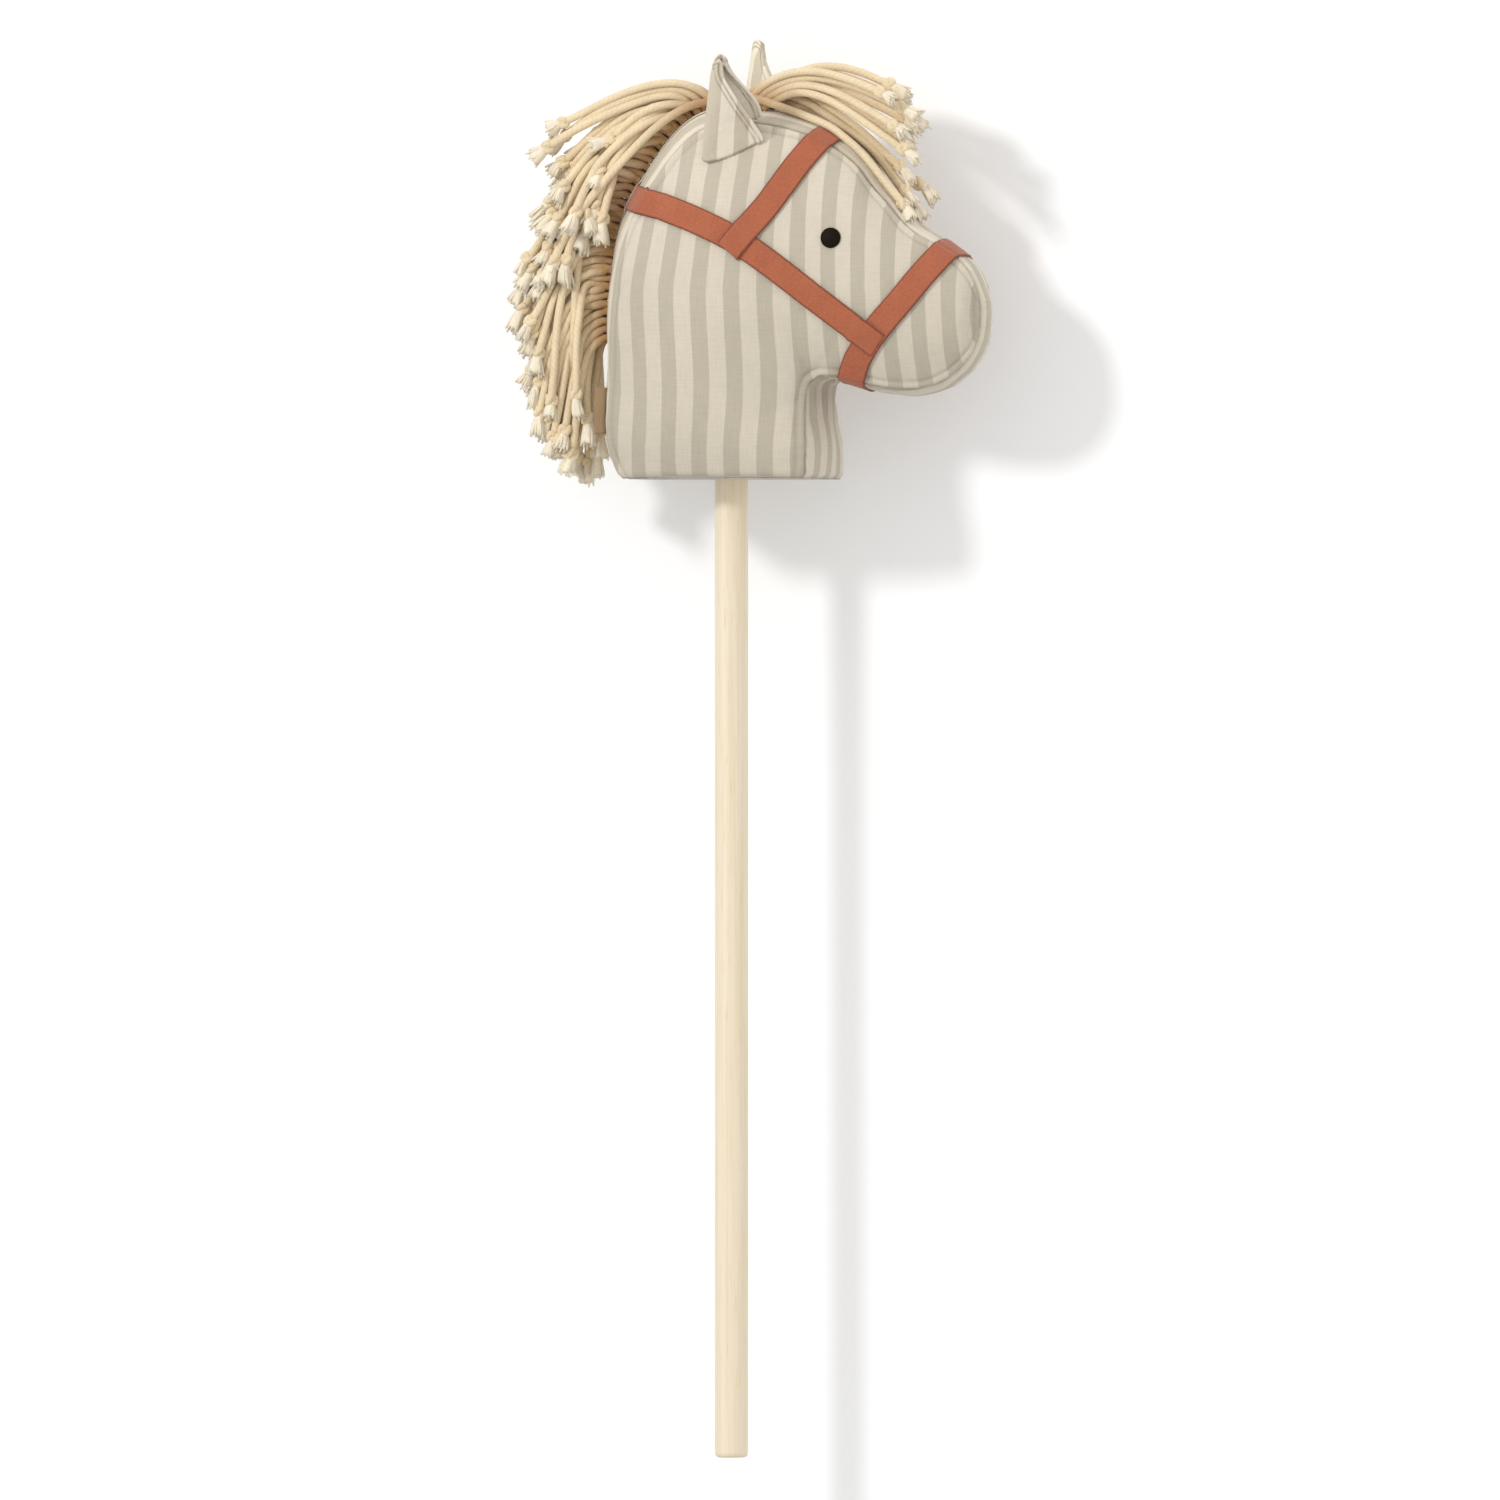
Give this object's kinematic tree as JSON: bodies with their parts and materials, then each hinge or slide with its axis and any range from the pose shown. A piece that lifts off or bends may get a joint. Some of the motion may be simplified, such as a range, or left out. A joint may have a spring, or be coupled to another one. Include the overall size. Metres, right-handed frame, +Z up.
{
  "type": "hobby horse",
  "caption": "Stick toy: a stuffed striped cloth horse head with ribbon bridle, button eyes, hinged cloth ears and a corded mane, on a straight round wooden stick.",
  "frame": {"origin": "middle of the stick's flat foot", "axes": "+Z up along the stick, +X the way the horse faces, -Y the horse's right side"},
  "size_m": [0.3285, 0.1368, 0.9291],
  "materials": {
    "pine": "sanded, clear satin",
    "striped_cotton": "grey and beige woven stripes",
    "plain_cotton": "plain weave",
    "terracotta_ribbon": "grosgrain ribbon",
    "cream_cord": "twisted cotton cord",
    "dark_eye": "matte",
    "white_nylon": "natural",
    "polyester_fill": "loose fill"
  },
  "bodies": {
    "head": {"stick": "pine", "stick_sleeve": "plain_cotton", "sleeve_tie": "cream_cord", "right_side_panel": "striped_cotton", "left_side_panel": "striped_cotton", "center_gusset": "striped_cotton", "base_panel": "plain_cotton", "stuffing": "polyester_fill", "right_eye": "dark_eye", "left_eye": "dark_eye", "right_eye_washer": "white_nylon", "left_eye_washer": "white_nylon", "headstall": "terracotta_ribbon", "browband": "terracotta_ribbon", "noseband": "terracotta_ribbon", "mane": "cream_cord", "forelock": "cream_cord", "back_tab": "plain_cotton"},
    "ear_right": {"right_ear": "striped_cotton", "right_ear_lining": "plain_cotton"},
    "ear_left": {"left_ear": "striped_cotton", "left_ear_lining": "plain_cotton"}
  },
  "joints": [
    {"name": "right_ear_flop", "type": "hinge", "parent": "head", "child": "ear_right", "pos_m": [0.01413, -0.03912, 0.85504], "axis": [0.8966, 0.1764, 0.4063], "range_deg": [-31, 34], "stiffness_Nm_per_rad": 0.05},
    {"name": "left_ear_flop", "type": "hinge", "parent": "head", "child": "ear_left", "pos_m": [0.01413, 0.03912, 0.85504], "axis": [-0.8966, 0.1764, -0.4062], "range_deg": [0, 65], "stiffness_Nm_per_rad": 0.05}
  ]
}
